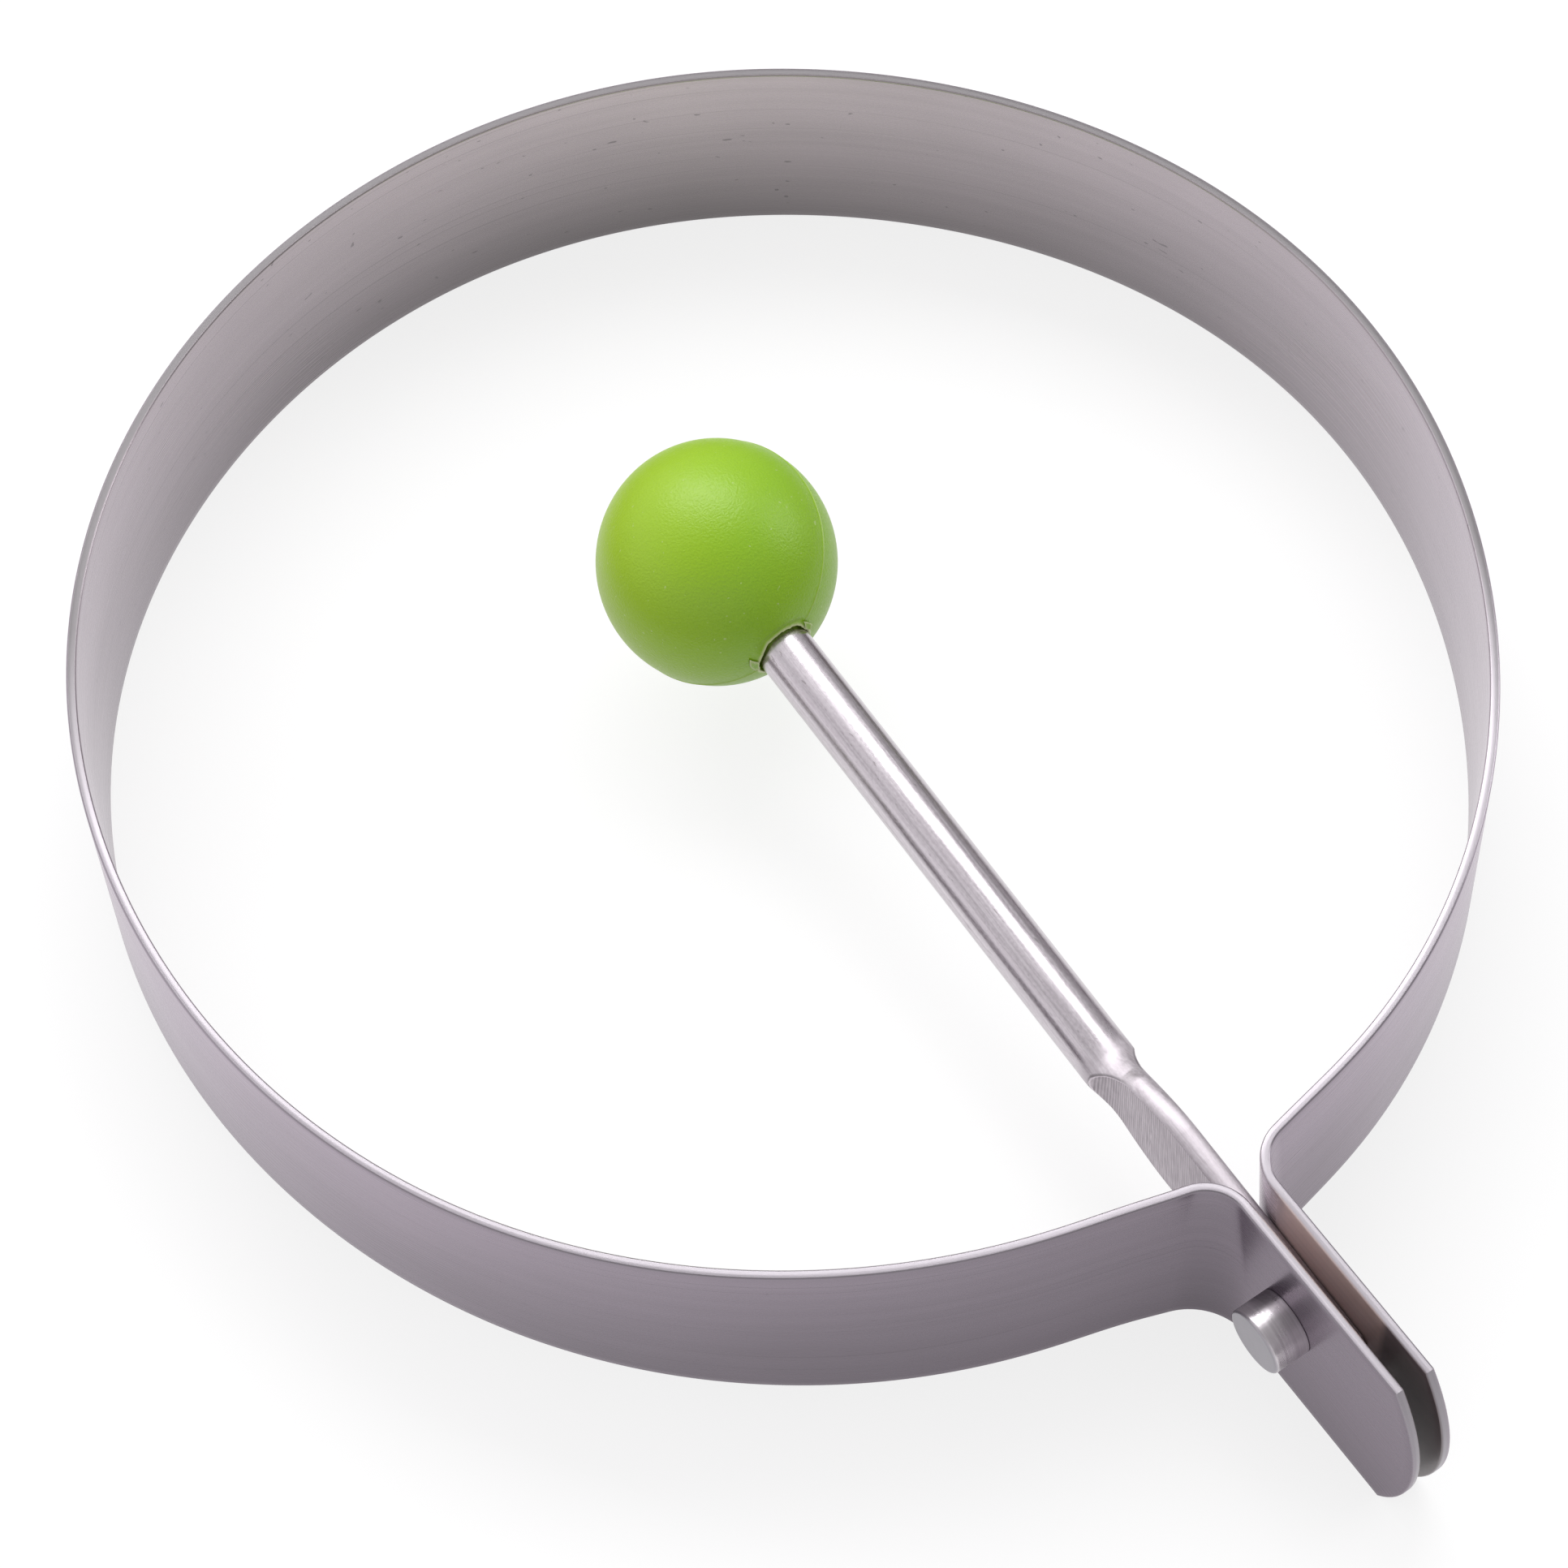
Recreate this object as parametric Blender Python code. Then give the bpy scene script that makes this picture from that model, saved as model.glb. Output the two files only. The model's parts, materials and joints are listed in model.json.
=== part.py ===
"""Egg ring with a folding handle.

A strip is bent to a hoop, and its two ends run out side by side as a tail of two leaves. A rod
with a ball on it ends in a flat blade that turns between the leaves on a rivet. Lengths are in
metres, the hoop stands on z = 0 and the tail points along -Y.
"""
import math
from collections import namedtuple

import bmesh
import bpy
from mathutils import Vector

# Hoop: radius to the middle of the sheet
HOOP_RADIUS = 0.0445
BAND_HEIGHT = 0.0160
SHEET = 0.00065
HOOP_SIDESTEP = 0.00093

# The two rims, bent by hand and so a little different: inside radius of the bends into the tail,
# then how far each is out of round, in shares of the hoop's radius. That is a flare beside the
# tail and (cosine, sine) pairs for two, three, four and five lobes counted from the tail.
TOP_BEND = 0.0026
TOP_FLARE_SHARE = 0.019
TOP_LOBE_SHARES = ((0.0074, 0.0133), (0.0025, 0.0014), (0.0016, 0.0024), (0.0005, 0.0024))
BOTTOM_BEND = 0.0045
BOTTOM_FLARE_SHARE = 0.029
BOTTOM_LOBE_SHARES = ((0.0085, 0.0142), (0.0041, -0.0007), (0.0026, 0.0013), (-0.0008, 0.0023))
FIRST_LOBES = 2
FLARE_SPREAD = math.radians(6)

# Joint: from the hoop and its bends out to the rivet, and the rivet's height
PIVOT_PAST_BENDS = 0.0043
PIVOT_HEIGHT = 0.0086

# Tail leaves: from the rivet to the corners, and the round of the ends
LEAF_PAST_PIVOT = 0.0097
LEAF_BULGE = 0.0024

# Handle: sizes across, then distances from the rivet towards the ball
ROD_DIAMETER = 0.0037
BLADE_THICKNESS = 0.0013
BLADE_HEIGHT = 0.0082
NECK_THICKNESS = 0.0016
NECK_HEIGHT = 0.0055
BLADE_TAIL = 0.0047
BLADE_CORNER = 0.0004
BLADE_FULL = 0.0122
KNEE = 0.0146
KNEE_SPREAD = 0.0030
NECK = 0.0180
SHOULDER = 0.0194
BALL_REACH = 0.0622
ROD_CHAMFER = 0.0003
ROD_TILT = math.radians(4.43)

# Ball: the rod runs past its centre into a blind hole
BALL_DIAMETER = 0.0160
ROD_PAST_CENTRE = 0.0030
HOLE_PAST_ROD = 0.0006

# Rivet: a tall plain head on the near leaf, a low closed one on the far leaf
SHANK_DIAMETER = 0.0028
HEAD_DIAMETER = 0.00465
HEAD_HEIGHT = 0.00245
HEAD_CHAMFER = 0.0002
FAR_HEAD_DIAMETER = 0.0042
FAR_HEAD_HEIGHT = 0.0009

# Clearances: blade to each leaf, rivet in its holes, rivet heads on the leaves, rod in the ball
BLADE_CLEARANCE = 0.00015
RUNNING_CLEARANCE = 0.00008
HEAD_CLEARANCE = 0.00005
SOCKET_CLEARANCE = 0.00015

# Meshing
HOOP_STEPS = 160
BEND_STEPS = 12
LEAF_STEPS = 20
SECTION_STEPS = 16
TAPER_STEPS = 10
SHOULDER_STEPS = 6
ROUND_STEPS = 48
BALL_STEPS = 60
BALL_RINGS = 30
DOME_STEPS = 6
BISECTIONS = 40
WELD = 0.000001
SHARP = math.radians(32)

# What follows from the sizes above
Rim = namedtuple("Rim", "height bend flare_share lobe_shares")
TOP_RIM = Rim(BAND_HEIGHT, TOP_BEND, TOP_FLARE_SHARE, TOP_LOBE_SHARES)
BOTTOM_RIM = Rim(0, BOTTOM_BEND, BOTTOM_FLARE_SHARE, BOTTOM_LOBE_SHARES)
PIVOT_REACH = HOOP_RADIUS + BOTTOM_BEND + PIVOT_PAST_BENDS
LEAF_REACH = PIVOT_REACH + LEAF_PAST_PIVOT
LEAF_INSIDE = BLADE_THICKNESS / 2 + BLADE_CLEARANCE
LEAF_MIDDLE = LEAF_INSIDE + SHEET / 2
LEAF_OUTSIDE = LEAF_INSIDE + SHEET
RIVET_HOLE_RADIUS = SHANK_DIAMETER / 2 + RUNNING_CLEARANCE
SOCKET_RADIUS = ROD_DIAMETER / 2 + SOCKET_CLEARANCE


def material(name, colour, roughness, metallic):
    made = bpy.data.materials.new(name)
    made.use_nodes = True
    shader = made.node_tree.nodes["Principled BSDF"]
    shader.inputs["Base Color"].default_value = (*colour, 1.0)
    shader.inputs["Roughness"].default_value = roughness
    shader.inputs["Metallic"].default_value = metallic
    made.diffuse_color = (*colour, 1.0)
    return made


def finish(name, shape, finish_material, place):
    """Turn a bmesh into a named object, faces outwards, smooth but for its sharp edges."""
    bmesh.ops.recalc_face_normals(shape, faces=shape.faces)
    mesh = bpy.data.meshes.new(name)
    shape.to_mesh(mesh)
    shape.free()
    mesh.shade_smooth()
    mesh.set_sharp_from_angle(angle=SHARP)
    mesh.materials.append(finish_material)
    made = bpy.data.objects.new(name, mesh)
    bpy.context.scene.collection.objects.link(made)
    made.location = place
    return made


def turned(profile, steps):
    """Closed body of revolution about local Z from (radius, height) points, axis to axis."""
    shape = bmesh.new()
    points = [shape.verts.new((radius, 0, height)) for radius, height in profile]
    edges = [shape.edges.new(pair) for pair in zip(points, points[1:])]
    bmesh.ops.spin(
        shape, geom=points + edges, cent=(0, 0, 0), axis=(0, 0, 1),
        angle=math.tau, steps=steps, use_merge=False,
    )
    bmesh.ops.remove_doubles(shape, verts=shape.verts, dist=WELD)
    return shape


def cut_round_hole(target, name, radius, length, place):
    """Drill a round hole along X through an object."""
    shape = bmesh.new()
    bmesh.ops.create_cone(
        shape, cap_ends=True, segments=ROUND_STEPS, radius1=radius, radius2=radius, depth=length,
    )
    drill = finish(name, shape, target.data.materials[0], place)
    drill.rotation_euler.y = math.pi / 2
    drill.hide_render = True
    drill.display_type = "WIRE"
    cut = target.modifiers.new("hole", "BOOLEAN")
    cut.operation = "DIFFERENCE"
    cut.solver = "EXACT"
    cut.object = drill


def hoop(rim, turn):
    """Middle line of a rim: point and outward normal, turning from the tail towards +X."""
    turn = math.remainder(turn, math.tau)
    flare = rim.flare_share * math.exp(-((turn / FLARE_SPREAD) ** 2))
    share, slope = 1 + flare, -2 * flare * turn / FLARE_SPREAD**2
    for lobes, (cos_share, sin_share) in enumerate(rim.lobe_shares, FIRST_LOBES):
        share += cos_share * math.cos(lobes * turn) + sin_share * math.sin(lobes * turn)
        slope += lobes * (sin_share * math.cos(lobes * turn) - cos_share * math.sin(lobes * turn))
    along = Vector((math.sin(turn), -math.cos(turn)))
    across = Vector((math.cos(turn), math.sin(turn)))
    point = Vector((-HOOP_SIDESTEP, 0)) + HOOP_RADIUS * share * along
    travel = (slope * along + share * across).normalized()
    return point, Vector((travel.y, -travel.x))


def bend(rim, side):
    """Where a rim's bend into a leaf leaves the hoop, and the bend's centre and middle radius."""
    radius = rim.bend + SHEET / 2
    low, high = 0, math.pi / 4
    for _ in range(BISECTIONS):
        turn = (low + high) / 2
        point, outward = hoop(rim, side * turn)
        centre = point + outward * radius
        if side * centre.x < LEAF_MIDDLE + radius:
            low = turn
        else:
            high = turn
    return side * turn, centre, radius


def bend_points(rim, side):
    """A bend's middle line from the hoop to the leaf, with normals to the hoop's outside."""
    turn, centre, radius = bend(rim, side)
    outward = hoop(rim, turn)[1]
    first = math.atan2(-outward.y, -outward.x)
    last = math.pi if side > 0 else 0
    for step in range(BEND_STEPS + 1):
        angle = first + (last - first) * step / BEND_STEPS
        spoke = Vector((math.cos(angle), math.sin(angle)))
        yield centre + spoke * radius, -spoke


def strip_path(rim):
    """Middle line of the strip at a rim, from the +X leaf round the hoop to the -X leaf."""
    far, near = list(bend_points(rim, 1)), list(bend_points(rim, -1))
    start, end = bend(rim, 1)[0], math.tau + bend(rim, -1)[0]
    around = [hoop(rim, start + (end - start) * step / HOOP_STEPS) for step in range(1, HOOP_STEPS)]
    return far[::-1] + around + near


def strip_edge(rim, side):
    """Outer (side 1) or inner (side -1) edge of the strip at a rim."""
    return [point + outward * side * SHEET / 2 for point, outward in strip_path(rim)]


def leaf_arc():
    """Rounded end of a leaf from its lower to its upper corner, as (y, z)."""
    half = BAND_HEIGHT / 2
    radius = (half * half + LEAF_BULGE * LEAF_BULGE) / (2 * LEAF_BULGE)
    sweep = math.asin(half / radius)
    for step in range(LEAF_STEPS + 1):
        angle = sweep * (2 * step / LEAF_STEPS - 1)
        yield radius - LEAF_BULGE - LEAF_REACH - radius * math.cos(angle), half + radius * math.sin(angle)


def build_ring(steel, shift):
    shape = bmesh.new()
    rails = [
        [shape.verts.new((*edge, rim.height)) for edge in strip_edge(rim, side)]
        for rim, side in ((BOTTOM_RIM, -1), (TOP_RIM, -1), (TOP_RIM, 1), (BOTTOM_RIM, 1))
    ]
    inner_low, inner_high, outer_high, outer_low = rails
    for index in range(len(inner_low) - 1):
        for rail_a, rail_b in zip(rails, rails[1:] + rails[:1]):
            shape.faces.new((rail_a[index], rail_b[index], rail_b[index + 1], rail_a[index + 1]))
    for side, index in ((1, 0), (-1, -1)):
        inside = [shape.verts.new((side * LEAF_INSIDE, y, z)) for y, z in leaf_arc()]
        outside = [shape.verts.new((side * LEAF_OUTSIDE, y, z)) for y, z in leaf_arc()]
        shape.faces.new([inner_low[index], *inside, inner_high[index]])
        shape.faces.new([outer_low[index], *outside, outer_high[index]])
        shape.faces.new((inner_low[index], outer_low[index], outside[0], inside[0]))
        shape.faces.new((inner_high[index], outer_high[index], outside[-1], inside[-1]))
        for step in range(LEAF_STEPS):
            shape.faces.new((inside[step], outside[step], outside[step + 1], inside[step + 1]))
    ring = finish("ring_band", shape, steel, (*shift, 0))
    pivot = (shift.x, shift.y - PIVOT_REACH, PIVOT_HEIGHT)
    cut_round_hole(ring, "leaf_drill", RIVET_HOLE_RADIUS, 4 * LEAF_OUTSIDE, pivot)
    return ring, Vector(pivot)


def centre_line(reach):
    """Height and slope of the handle's middle line over the rivet, at a distance from it."""
    rise = math.tan(ROD_TILT)
    start = KNEE - KNEE_SPREAD
    if reach <= start:
        return 0, 0
    if reach >= KNEE + KNEE_SPREAD:
        return rise * (reach - KNEE), rise
    return rise * (reach - start) ** 2 / (4 * KNEE_SPREAD), rise * (reach - start) / (2 * KNEE_SPREAD)


def handle_stations():
    """(distance from the rivet, thickness, height) of each section, from the blade to the rod's end."""
    yield -BLADE_TAIL, BLADE_THICKNESS, BLADE_HEIGHT - 2 * BLADE_CORNER
    yield BLADE_CORNER - BLADE_TAIL, BLADE_THICKNESS, BLADE_HEIGHT
    for step in range(TAPER_STEPS + 1):
        part = step / TAPER_STEPS
        narrowing = 1 - math.cos(part * math.pi / 2)
        yield (
            BLADE_FULL + part * (NECK - BLADE_FULL),
            BLADE_THICKNESS + part * (NECK_THICKNESS - BLADE_THICKNESS),
            BLADE_HEIGHT + narrowing * (NECK_HEIGHT - BLADE_HEIGHT),
        )
    for step in range(1, SHOULDER_STEPS + 1):
        part = step / SHOULDER_STEPS
        swell = (1 - math.cos(part * math.pi)) / 2
        yield (
            NECK + part * (SHOULDER - NECK),
            NECK_THICKNESS + swell * (ROD_DIAMETER - NECK_THICKNESS),
            NECK_HEIGHT + swell * (ROD_DIAMETER - NECK_HEIGHT),
        )
    tip = BALL_REACH + ROD_PAST_CENTRE
    yield tip - ROD_CHAMFER, ROD_DIAMETER, ROD_DIAMETER
    yield tip, ROD_DIAMETER - 2 * ROD_CHAMFER, ROD_DIAMETER - 2 * ROD_CHAMFER


def section(shape, reach, thickness, height):
    """One ring of the handle: two half circles joined by straight flanks, square to the middle line."""
    rise, slope = centre_line(reach)
    upright = Vector((0, -slope, 1)).normalized()
    centre = Vector((0, reach, rise))
    verts = []
    for side in (1, -1):
        for step in range(SECTION_STEPS):
            angle = math.pi * (step + 1 / 2) / SECTION_STEPS
            up = (height - thickness) / 2 + thickness / 2 * math.sin(angle)
            across = side * thickness / 2 * math.cos(angle)
            verts.append(shape.verts.new(centre + Vector((across, 0, 0)) + side * up * upright))
    return verts


def build_handle(steel, pivot):
    shape = bmesh.new()
    rings = [section(shape, *station) for station in handle_stations()]
    for ring_a, ring_b in zip(rings, rings[1:]):
        for index in range(len(ring_a)):
            after = (index + 1) % len(ring_a)
            shape.faces.new((ring_a[index], ring_a[after], ring_b[after], ring_b[index]))
    shape.faces.new(rings[0])
    shape.faces.new(rings[-1])
    handle = finish("handle_rod", shape, steel, pivot)
    cut_round_hole(handle, "blade_drill", RIVET_HOLE_RADIUS, 4 * BLADE_THICKNESS, pivot)
    return handle


def build_ball(plastic, handle):
    radius = BALL_DIAMETER / 2
    mouth = math.asin(SOCKET_RADIUS / radius)
    floor = -(ROD_PAST_CENTRE + HOLE_PAST_ROD) / math.cos(ROD_TILT)
    profile = [(0, floor), (SOCKET_RADIUS, floor)]
    for step in range(BALL_RINGS + 1):
        angle = mouth + (math.pi - mouth) * step / BALL_RINGS
        profile.append((radius * math.sin(angle), radius * math.cos(angle)))
    profile[-1] = (0, -radius)
    place = (0, BALL_REACH, centre_line(BALL_REACH)[0])
    ball = finish("ball_knob", turned(profile, BALL_STEPS), plastic, place)
    ball.parent = handle
    ball.rotation_euler.x = math.pi / 2 + ROD_TILT


def build_rivet(steel, pivot):
    seat = LEAF_OUTSIDE + HEAD_CLEARANCE
    shank, head, far = SHANK_DIAMETER / 2, HEAD_DIAMETER / 2, FAR_HEAD_DIAMETER / 2
    profile = []
    for step in range(DOME_STEPS + 1):
        angle = math.pi / 2 * step / DOME_STEPS
        profile.append((far * math.sin(angle), -seat - FAR_HEAD_HEIGHT * math.cos(angle)))
    profile += [
        (shank, -seat),
        (shank, seat),
        (head, seat),
        (head, seat + HEAD_HEIGHT - HEAD_CHAMFER),
        (head - HEAD_CHAMFER, seat + HEAD_HEIGHT),
        (0, seat + HEAD_HEIGHT),
    ]
    rivet = finish("pivot_rivet", turned(profile, ROUND_STEPS), steel, pivot)
    rivet.rotation_euler.y = -math.pi / 2


def frame_shift():
    """Shift that puts the middle of the whole outline over the origin."""
    edges = strip_edge(TOP_RIM, 1) + strip_edge(BOTTOM_RIM, 1)
    left, right = min(edge.x for edge in edges), max(edge.x for edge in edges)
    front, back = -LEAF_REACH - LEAF_BULGE, max(edge.y for edge in edges)
    return Vector((-(left + right) / 2, -(front + back) / 2))


for old in list(bpy.data.objects):
    bpy.data.objects.remove(old, do_unlink=True)

brushed = material("brushed_stainless", (0.52, 0.49, 0.51), 0.34, 1.0)
polished = material("polished_stainless", (0.66, 0.64, 0.65), 0.18, 1.0)
turned_steel = material("rivet_stainless", (0.60, 0.58, 0.59), 0.24, 1.0)
green = material("green_plastic", (0.27, 0.53, 0.03), 0.42, 0.0)

ring_band, pivot_point = build_ring(brushed, frame_shift())
handle_rod = build_handle(polished, pivot_point)
build_ball(green, handle_rod)
build_rivet(turned_steel, pivot_point)
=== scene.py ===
"""Looks of the egg ring: fine pieces, materials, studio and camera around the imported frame.

Lengths are in metres. The hoop stands on z = 0, the tail points along -Y, and the rivet's tall
head is on the -X leaf.
"""

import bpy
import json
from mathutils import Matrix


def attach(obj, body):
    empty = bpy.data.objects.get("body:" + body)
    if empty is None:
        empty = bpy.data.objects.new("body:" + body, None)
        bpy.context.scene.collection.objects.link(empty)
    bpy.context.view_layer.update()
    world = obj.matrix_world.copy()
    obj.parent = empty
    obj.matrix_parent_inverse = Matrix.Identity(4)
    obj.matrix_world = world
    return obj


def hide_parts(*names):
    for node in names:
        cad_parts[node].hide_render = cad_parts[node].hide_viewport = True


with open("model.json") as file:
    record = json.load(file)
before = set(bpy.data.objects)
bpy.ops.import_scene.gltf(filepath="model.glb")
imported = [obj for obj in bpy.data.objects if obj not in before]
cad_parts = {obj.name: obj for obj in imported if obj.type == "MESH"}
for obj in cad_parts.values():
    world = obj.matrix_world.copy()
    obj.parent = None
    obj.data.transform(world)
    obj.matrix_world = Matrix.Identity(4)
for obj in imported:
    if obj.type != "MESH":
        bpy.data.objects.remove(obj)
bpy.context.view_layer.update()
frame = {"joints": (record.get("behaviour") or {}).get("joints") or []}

import json
import math
from collections import namedtuple

import bmesh
import bpy
import numpy as np
from mathutils import Matrix, Vector, kdtree, noise

# Hoop and tail, as in the CAD source
HOOP_RADIUS = 0.0445
BAND_HEIGHT = 0.0160
SHEET = 0.00065
HOOP_SIDESTEP = 0.00093
TOP_BEND = 0.0026
TOP_FLARE_SHARE = 0.019
TOP_LOBE_SHARES = ((0.0074, 0.0133), (0.0025, 0.0014), (0.0016, 0.0024), (0.0005, 0.0024))
BOTTOM_BEND = 0.0045
BOTTOM_FLARE_SHARE = 0.029
BOTTOM_LOBE_SHARES = ((0.0085, 0.0142), (0.0041, -0.0007), (0.0026, 0.0013), (-0.0008, 0.0023))
FIRST_LOBES = 2
FLARE_SPREAD = math.radians(6)
PIVOT_PAST_BENDS = 0.0043
LEAF_BULGE = 0.0024
LEAF_PAST_PIVOT = 0.0097
LEAF_INSIDE = 0.0008
LEAF_STARTS = 0.0056
LEAF_FADE = 0.0022
RIM_ROUND = 0.00014
RIM_ROUND_STEPS = 3

# Handle; its places are distances from the rivet towards the ball
ROD_DIAMETER = 0.0037
ROD_TILT = math.radians(4.43)
BLADE_THICKNESS = 0.0015
BLADE_HEIGHT = 0.0082
BLADE_TAIL = 0.0047
BLADE_CORNER = 0.0004
BLADE_FULL = 0.0122
NECK_THICKNESS = 0.0016
NECK_HEIGHT = 0.0055
KNEE = 0.0146
KNEE_SPREAD = 0.0030
NECK = 0.0180
SHOULDER = 0.0194
DIE_START = 0.0170
DIE_END = 0.0196
DIE_EASE = 0.00012
SHARP_EASE = 0.00001
PRESS_SWELL = 0.000024
SWELL_START = 0.0170
SWELL_END = 0.0200
CROWN_SHARE = 0.68
TAIL_DROP = 0.0009
DROP_START = 0.0030
DROP_END = 0.0085
ROD_CHAMFER = 0.0003
BALL_REACH = 0.0622
ROD_PAST_CENTRE = 0.0030

# Ball, its blind hole, the ragged lip round the hole and the parting line
BALL_DIAMETER = 0.01598
BALL_OVAL_SHARE = 0.977
BALL_OVAL_AXIS = Vector((0.82, -0.57, 0))
SOCKET_CLEARANCE = 0.00008
HOLE_PAST_ROD = 0.0006
MOUTH_RADIUS = 0.0030
LIP_RADIUS = 0.00202
LIP_WIDER = 0.00022
LIP_SINK = 0.00017
LIP_OPENS_SHARE = 0.45
LIP_THICKNESS = 0.00012
LIP_HEIGHT = 0.00010
LIP_WAVE = 0.00011
SINK_SHARES = (0.2, 0.4, 0.6, 0.8, 0.92)
THROAT_SHARES = (0.35, 0.7)
RECESS_LEVEL = 0.0071

# Rings of the lip: outwards in thicknesses, upwards in heights, and how pale
LIP_RINGS = (
    (2, 0, 0), (1.2, 0, 0.4), (0.7, 0.9, 1), (0.1, 1, 1), (-0.3, 0.3, 1), (-0.4, -1.5, 0.1),
)

# Torn flakes beside the hole: each corner's distance from the axis, degrees round it, and lift
FLAKES = (
    (
        (0.00290, 154, 0.00016), (0.00209, 163, 0.00012),
        (0.00196, 189, 0.00006), (0.00230, 189, 0.00009),
    ),
    (
        (0.00256, 50, 0.00008), (0.00250, 26, 0.00020),
        (0.00206, 21, 0.00012), (0.00212, 38, 0.00008),
    ),
)
FLAKE_THICKNESS = 0.00006
FLAKE_RIPPLES = 9000
FLAKE_RIM_SHARE = 0.25
FLAKE_STEPS = 8
SEAM_NORMAL = Vector((0.535, -0.015, -0.845))
SEAM_HEIGHT = 0.00005
SEAM_OFFSETS = (-0.00008, -0.00004, 0, 0.00004, 0.00008)

# Rivet
SHANK_DIAMETER = 0.0028
HOLE_CLEARANCE = 0.00008
HEAD_DIAMETER = 0.0045
HEAD_HEIGHT = 0.00250
HEAD_ROUND = 0.00022
HEAD_UNDERCUT = 0.00004
FAR_HEAD_DIAMETER = 0.0042
FAR_HEAD_HEIGHT = 0.0009

# Meshing
HOOP_STEPS = 360
BEND_STEPS = 24
LEAF_COLUMNS = 20
LEVELS = 24
SECTION_STEPS = 84
FORGED_STEPS = 116
ROD_STEPS = 60
BALL_SEGMENTS = 180
BALL_RINGS = 96
RIVET_SEGMENTS = 96
ROUND_STEPS = 8
NEAR_STATIONS = 4
SOCKET_RINGS = 5
BISECTIONS = 40
WELD = 0.000001

# Shading: the angle from which an edge stays crisp, and how far large faces set the normals
BAND_SHARP = math.radians(38)
ROD_SHARP = math.radians(20)
BALL_SHARP = math.radians(50)
RIVET_SHARP = math.radians(30)
NORMAL_WEIGHT = 60

# Tones and painted shade of the strip, by places along it from the end of the -X leaf to the end
# of the +X leaf
BACK = 0.178
BACK_FADE = 0.065
BLUSH_FADE = 0.07
INNER_LEAN = (0.11, 0.25)
# Painted shade on the outer wall near both ends: where it fades from the start, towards the end,
# and its darkest share
END_SHADE_FROM_START = (0.020, 0.085)
END_SHADE_TO_END = (0.283, 0.300)
END_SHADE_SHARE = 0.78
# Painted shade on the rims: the middle of the darker stretch at the back, and where it fades
RIM_SHADE_MIDDLE = 0.182
RIM_SHADE_FADE = (0.066, 0.081)

# Marks of the die on the blade's flats
DIE_PITCH = 0.00019
DIE_SLANT = -0.08
DIE_WOBBLE = 0.0002

# Painted highlight and painted dark reflection line where the flats run out, by the depth below
# the die's face in eases
EDGE_HIGHLIGHT_DEPTHS = (0.02, 0.10)
EDGE_DARK_LINE_DEPTHS = (0.18, 0.5)
EDGE_ENDS = (0.8, 2)

# Camera: the place and turn from which the photograph's perspective fits the model
CAMERA_PLACE = Vector((-0.088877, -0.134219, 0.300818))
CAMERA_TURN = [math.radians(angle) for angle in (29.08046, 1.94813, -34.92337)]
CAMERA_LENS_MM = 120.603
CAMERA_SENSOR_MM = 36
CAMERA_NEAR = 0.01
CAMERA_FAR = 20

# Studio walls: brightness by height (sine of the elevation), and where the walls blend
BACK_LEFT = (
    (0, 0.85), (0.20, 1.15), (0.38, 1.12), (0.50, 0.82),
    (0.63, 0.80), (0.74, 0.93), (0.83, 1.20), (1, 1.22),
)
BACK_RIGHT = (
    (0, 0.42), (0.24, 0.45), (0.37, 0.52), (0.50, 0.64), (0.58, 0.80), (0.68, 1.10), (1, 1.20),
)
FRONT_LEFT = (
    (0, 0.75), (0.26, 0.85), (0.45, 0.85), (0.62, 0.60), (0.74, 0.46), (0.87, 0.44), (1, 0.50),
)
FRONT_RIGHT = ((0, 0.36), (0.24, 0.32), (0.37, 0.36), (0.50, 0.54), (0.60, 0.56), (1, 0.50))
LEFT_TO_RIGHT = (-0.3, 0.3)
FRONT_TO_BACK = (0.12, 0.34)
STUDIO_GREEN = 0.985

# Softboxes: the ends are directions seen from the object
Softbox = namedtuple("Softbox", "name right_end left_end size radiance")
SOFTBOXES = (
    Softbox(
        "key_softbox", right_end=Vector((0.43, 0.25, 0.867)), left_end=Vector((0, 0.75, 0.66)),
        size=(0.62, 0.25), radiance=3.9,
    ),
    Softbox(
        "side_softbox", right_end=Vector((0.93, -0.32, 0.2)), left_end=Vector((0.8, -0.05, 0.6)),
        size=(0.34, 0.22), radiance=2.8,
    ),
)
SOFTBOX_DISTANCE = 0.6

# Floor: its own colour and glow as the camera sees it, and the colour that lights the object
FLOOR_HALF = 1.5
FLOOR_DROP = 0.00003
FLOOR_SHOWN = (0.27, 0.27, 0.27, 1)
FLOOR_GLOW = (0.77, 0.77, 0.77, 1)
FLOOR_LIT = (0.68, 0.66, 0.68, 1)

Rim = namedtuple("Rim", "height bend flare_share lobe_shares")
TOP_RIM = Rim(BAND_HEIGHT, TOP_BEND, TOP_FLARE_SHARE, TOP_LOBE_SHARES)
BOTTOM_RIM = Rim(0, BOTTOM_BEND, BOTTOM_FLARE_SHARE, BOTTOM_LOBE_SHARES)
LEAF_MIDDLE = LEAF_INSIDE + SHEET / 2
LEAF_OUTSIDE = LEAF_INSIDE + SHEET
PIVOT = Vector(frame["joints"][0]["pos_m"])
LEAF_CORNER_Y = PIVOT.y - LEAF_PAST_PIVOT
PIVOT_REACH = HOOP_RADIUS + BOTTOM_BEND + PIVOT_PAST_BENDS
HOOP_CENTRE = Vector((PIVOT.x - HOOP_SIDESTEP, PIVOT.y + PIVOT_REACH))
HOLE_RADIUS = SHANK_DIAMETER / 2 + HOLE_CLEARANCE


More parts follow.
